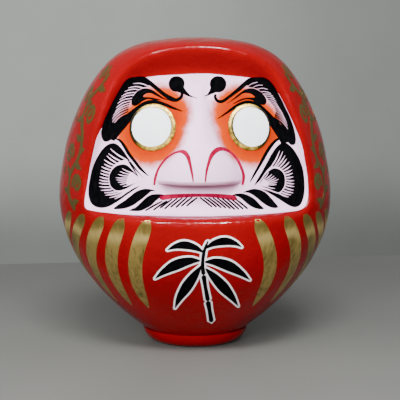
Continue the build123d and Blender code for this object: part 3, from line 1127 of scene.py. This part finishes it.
# ---- moustache, lip and nostrils ----
# Each hair's root and tip.
MOUSTACHE = (
    ((-26.9, -53.6), (-39.1, -60.4)), ((-23.6, -53.4), (-33.2, -59.9)),
    ((-19.8, -52.2), (-28.3, -58.4)), ((-16.0, -51.6), (-25.1, -59.1)),
    ((-12.4, -51.4), (-20.6, -57.8)), ((-9.0, -51.1), (-16.8, -58.1)),
    ((-5.2, -50.9), (-12.9, -57.2)), ((-1.3, -51.0), (-9.0, -57.0)),
    ((0.8, -51.0), (9.5, -57.8)), ((4.0, -51.1), (12.7, -57.7)),
    ((7.0, -51.1), (16.2, -58.3)), ((10.2, -51.1), (19.6, -58.5)),
    ((13.4, -51.3), (22.9, -58.9)), ((16.7, -51.4), (26.0, -59.5)),
    ((20.0, -51.6), (29.0, -59.4)), ((23.4, -51.9), (32.1, -59.2)),
    ((26.7, -52.1), (35.4, -59.0)),
)
LIP = [
    (-28.2, -51.6, 2.0), (-26.4, -50.9, 3.5), (-19.0, -50.0, 3.0), (-8.3, -49.4, 2.5),
    (0.7, -49.2, 2.2), (11.5, -49.5, 2.6), (21.1, -50.5, 3.3), (25.4, -51.2, 3.2),
    (27.4, -52.0, 1.6),
]
NOSTRILS = (
    [(-32.8, -41.7, 1.1), (-31.9, -36.2, 1.5), (-29.4, -29.5, 1.3), (-24.9, -23.3, 1.1),
     (-19.9, -19.4, 1.0), (-14.9, -17.4, 1.3), (-10.9, -17.7, 2.4), (-8.1, -21.1, 2.2),
     (-6.5, -26.7, 1.6), (-5.1, -33.4, 1.3), (-4.2, -39.6, 0.6)],
    [(4.6, -39.6, 0.7), (5.5, -31.8, 1.3), (7.4, -24.5, 1.7), (9.8, -19.1, 2.4),
     (14.0, -15.7, 2.5), (18.9, -15.7, 1.7), (23.8, -18.5, 1.3), (28.0, -23.3, 1.5),
     (31.0, -29.4, 1.6), (32.6, -35.5, 1.7), (31.8, -41.6, 1.3)],
)
hairs = []
for (x0, y0), (x1, y1) in MOUSTACHE:
    wide = rng.uniform(1.35, 1.55)
    middle = ((x0 + x1) / 2, (y0 + y1) / 2 + 0.2, wide)
    hairs.append(stroke([(x0, y0, 1.05), middle, (x1, y1, wide * 0.9)], 3))
ink("moustache", hairs, step=FINEST_STEP)
paint("lip", [stroke(LIP, swell=1.1)], on_face, CRIMSON)
arches = [stroke(line, swell=1.35) for line in NOSTRILS]
paint("nostril_arches", arches, on_face, CRIMSON)

# ---- gold bands round the belly ----
SIDES = ((-1, "left"), (1, "right"))
BAND_TOP_Z, BAND_LENGTH, BAND_STEP = 107.5, 70.0, 1.8
# Each band's angle from the middle at its top, how far it swings outwards lower down, and width.
BANDS = {
    "left": ((22.5, 10.0, 12.0), (34.3, 12.5, 12.0), (44.5, 17.5, 11.5), (55.5, 22.0, 11.0),
             (66.5, 25.0, 10.5)),
    "right": ((24.4, 12.3, 12.0), (39.0, 15.5, 12.0), (50.0, 20.0, 11.0), (59.5, 24.0, 10.5),
              (69.5, 26.0, 10.0)),
}
# Share of the way down, and of the width there.
BAND_PROFILE = (
    (0.0, 0.50), (0.05, 0.82), (0.14, 0.95), (0.30, 1.0), (0.50, 1.06), (0.70, 1.1), (0.84, 0.98),
    (0.93, 0.66), (1.0, 0.2),
)


def band(top, swing, width, side):
    """One band, which swings outwards as it goes down."""
    rows = []
    for t, share in BAND_PROFILE:
        angle = top + swing * math.sin(min(t * 1.12, 1.0) * math.pi / 2)
        s = math.radians(angle) * WRAP_RADIUS
        rows.append((side * s, BAND_TOP_Z - BAND_LENGTH * t, width * share))
    return stroke(rows, 8)


for side, label in SIDES:
    shapes = [
        band(top, swing + rng.uniform(-1.0, 1.0), width, side) for top, swing, width in BANDS[label]
    ]
    paint(f"bands_{label}", shapes, on_side, GOLD,
          step=BAND_STEP, lift=BODY_PAINT_LIFT)

# ---- scrolling vine on the cheeks of the hood ----
def curl(x, z, radius, start, turns, width):
    """A spiral stroke that winds in to its middle, which ends in a dot."""
    rows = []
    count = int(abs(turns) * 14)
    for k in range(count + 1):
        t = k / count
        angle = math.radians(start) + 2 * math.pi * turns * t
        r = radius * (1 - 0.78 * t)
        rows.append((x + r * math.cos(angle), z + r * math.sin(angle), width * (1.0 - 0.35 * t)))
    return [stroke(rows, 2, swell=VINE_SWELL), circle(*rows[-1][:2], width * 0.85, 12)]


def leaf(x, z, direction, length, width):
    """A leaf that points in a direction, in degrees from outwards."""
    dx, dz = math.cos(math.radians(direction)), math.sin(math.radians(direction))
    return stroke([
        (x, z, 0.8), (x + dx * length * 0.3, z + dz * length * 0.3, width),
        (x + dx * length * 0.65, z + dz * length * 0.65, width * 0.7),
        (x + dx * length, z + dz * length, 0.2),
    ], 4, swell=VINE_SWELL)


VINE_SWELL, VINE_STEP = 1.25, 1.4
VINE = (
    (116, 112, 3.6), (126, 122, 3.6), (126, 138, 3.4), (116, 151, 3.4), (116, 166, 3.4),
    (126, 180, 3.4), (124, 194, 3.4), (112, 206, 3.4), (114, 219, 2.6),
)
# Middle, radius, starting angle, turns and width of each curl.
VINE_CURLS = (
    (114, 131, 7.0, -20, 1.3, 3.2), (134, 152, 8.0, 190, -1.3, 3.2), (113, 182, 8.0, 0, 1.25, 3.2),
    (134, 196, 7.5, 200, -1.25, 3.0), (124, 213, 6.5, 200, -1.2, 2.8),
)
# Root, direction, length and width of each leaf.
VINE_LEAVES = (
    (120, 116, 165, 11, 4.2), (126, 124, 10, 11, 4.4), (126, 136, 40, 12, 4.4),
    (120, 146, 200, 11, 4.2), (116, 155, 160, 8, 3.8), (117, 163, 20, 12, 4.2),
    (119, 172, 45, 14, 4.4), (126, 180, -15, 11, 4.2), (125, 190, 165, 9, 3.8),
    (114, 203, 190, 13, 4.4), (112, 207, 130, 9, 4.0), (142, 136, 100, 8, 3.6),
    (142, 176, 80, 9, 3.6),
)
for side, label in SIDES:
    shapes = [stroke(VINE, 5, swell=VINE_SWELL)]
    for row in VINE_CURLS:
        shapes += curl(*row)
    shapes += [leaf(*row) for row in VINE_LEAVES]
    shapes = [[(side * x, z) for x, z in shape] for shape in shapes]
    paint(f"vine_{label}", shapes, on_side, DULL_GOLD,
          step=VINE_STEP, lift=BODY_PAINT_LIFT)

# ---- bamboo sprig on the belly ----
SPRIG_STEP, SPRIG_LIFT, SPRIG_SINK = 1.6, 0.3, 0.05
# Three lengths of cane, then six leaves, from root to tip.
SPRIG = (
    [(9, -141, 3.4), (7.6, -133, 3.0), (6.6, -127.5, 3.8)],
    [(6.4, -125.5, 3.4), (4.6, -116, 2.8), (3.4, -108.5, 3.6)],
    [(3.2, -106.5, 3.2), (2.6, -99, 2.6), (3.8, -90, 2.4), (6.5, -83, 1.2)],
    [(0.5, -97, 1.2), (-7, -97.2, 5.4), (-17, -100.2, 7.4), (-26, -105.2, 4.2), (-32, -110, 0.4)],
    [(1.5, -101, 1.2), (-3, -107.5, 5.6), (-9, -116, 7.6), (-14.5, -124.5, 4.6), (-17.5, -131.5, 0.4)],
    [(4.5, -98, 1.2), (12, -98, 5.4), (22, -101, 7.4), (31, -106.2, 4.2), (37, -111, 0.4)],
    [(5.0, -103, 1.2), (10.5, -108.5, 5.6), (17.5, -116, 7.6), (24, -123.5, 4.6), (28.5, -130, 0.4)],
    [(3.4, -91, 1.0), (-3, -87.4, 4.4), (-11, -85.6, 5.8), (-18, -86.8, 3.4), (-23, -89.2, 0.4)],
    [(5.0, -88, 1.0), (11, -84.4, 4.4), (19, -82.8, 5.8), (26, -84.2, 3.4), (31, -87, 0.4)],
)
# How much wider the white halo is than the black stroke on it.
HALO = 2.7
halo = [stroke([(x, y, w + HALO) for x, y, w in line]) for line in SPRIG]
halo += [circle(*line[-1][:2], HALO / 2 + 0.2, 12) for line in SPRIG]
paint("sprig_halo", halo, on_belly, WHITE_LINE,
      step=SPRIG_STEP, lift=BODY_PAINT_LIFT)
paint("sprig", [stroke(line) for line in SPRIG], on_belly, BLACK,
      step=SPRIG_STEP, lift=SPRIG_LIFT, sink=SPRIG_SINK)

# ---- materials of the CAD nodes that stay ----
PAPER = rough_material("raw_paper", rgb(178, 160, 124), rgb(214, 198, 164), 60, 0.0004)
CLAY = rough_material("dry_clay", rgb(104, 80, 60), rgb(150, 122, 94), 90, 0.0008)
for node, material in (
    ("foot_cup", LACQUER), ("seam_strip", PAPER), ("bottom_seal", PAPER), ("ballast_clay", CLAY),
):
    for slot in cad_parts[node].material_slots:
        slot.material = material

# ---- floor, wall, lights and camera ----
def stage_material(name, low, high, shade_falloffs):
    """A pale stage surface with painted shade that darkens it slowly along some axes."""
    look = Look(name, Roughness=0.55, Specular_IOR_Level=0.3)
    tone = look.mix(look.ramp(look.noise(6, 4), 0.3, 0.7), low, high)
    axes = look.axes()
    for axis, start, end, from_share, to_share in shade_falloffs:
        share = look.ramp(axes[axis], start, end, from_share, to_share)
        tone = look.mix(share, rgb(0, 0, 0), tone)
    look.set("Base Color", tone)
    look.set("Normal", look.bump(look.noise(300, 3), 0.15, 0.0004))
    return look.material


def panel(name, corners, material):
    """A flat part of the stage."""
    mesh = bpy.data.meshes.new(name)
    mesh.from_pydata(corners, [], [(0, 1, 2, 3)])
    mesh.materials.append(material)
    placed(name, mesh)


# The floor ends just behind the doll; the wall stands far behind that edge, so that it hides
# nothing from any side.
EDGE_TURN = math.radians(4.6)
EDGE_BACK = 0.351
STAGE_HALF = 3.0
WALL_BACK, WALL_LOW, WALL_HIGH, WALL_HALF = 3.0, -1.6, 2.6, 4.5
edge_right = Vector((math.cos(EDGE_TURN), math.sin(EDGE_TURN), 0)) * STAGE_HALF
edge_middle = Vector((0.0, EDGE_BACK, 0.0))
# Painted shade: the floor grows darker towards the back.
panel(
    "floor",
    [Vector((-STAGE_HALF, -STAGE_HALF, 0)), Vector((STAGE_HALF, -STAGE_HALF, 0)),
     edge_middle + edge_right, edge_middle - edge_right],
    stage_material(
        "pale_floor", rgb(92, 92, 89), rgb(96, 96, 93), [("Y", -0.25, 0.32, 1.0, 0.66)]
    ),
)
# Painted shade: the wall grows darker towards the bottom and the right.
panel(
    "wall",
    [Vector((-WALL_HALF, WALL_BACK, WALL_LOW)), Vector((WALL_HALF, WALL_BACK, WALL_LOW)),
     Vector((WALL_HALF, WALL_BACK, WALL_HIGH)), Vector((-WALL_HALF, WALL_BACK, WALL_HIGH))],
    stage_material(
        "pale_wall", rgb(168, 173, 167), rgb(172, 177, 171),
        [("Z", -0.44, -0.12, 0.52, 1.0), ("X", -0.1, 0.7, 1.0, 0.62)],
    ),
)


def soft_light(name, at, aim, width, height, power, shining=True, mirrored=True):
    """An area light, which may be left out of the reflections, or seen only in them."""
    data = bpy.data.lights.new(name, "AREA")
    data.shape = "RECTANGLE"
    data.size, data.size_y = width, height
    data.energy = power
    light = placed(name, data)
    light.location = at
    light.rotation_euler = (Vector(aim) - Vector(at)).to_track_quat("-Z", "Y").to_euler()
    light.visible_diffuse = shining
    light.visible_glossy = mirrored


soft_light("overhead", (0.0, -0.95, 1.25), (0, 0, 0.1), 0.6, 0.3, 40, mirrored=False)
soft_light("front", (-0.5, -2.2, 1.0), (0, 0, 0.12), 1.4, 0.9, 85, mirrored=False)
soft_light("left", (-1.6, -0.6, 0.9), (0, 0, 0.12), 0.8, 0.8, 16, mirrored=False)
soft_light("glint_left", (-0.55, -0.85, 1.4), (0, 0, 0.1), 0.16, 0.3, 60, shining=False)
soft_light("glint_right", (0.3, -0.85, 1.45), (0, 0, 0.1), 0.32, 0.4, 130, shining=False)
world = bpy.data.worlds.new("studio")
world.use_nodes = True
background = world.node_tree.nodes["Background"].inputs
background["Color"].default_value = (0.80, 0.82, 0.84, 1.0)
background["Strength"].default_value = 0.6
bpy.context.scene.world = world

camera_data = bpy.data.cameras.new("camera")
camera_data.lens = CAMERA_LENS
camera_data.sensor_width = 36.0
camera = placed("camera", camera_data)
camera.location = CAMERA_AT
camera.rotation_euler = Matrix((RIGHT, UP, -FORWARD)).transposed().to_euler()
bpy.context.scene.camera = camera

bpy.context.view_layer.update()
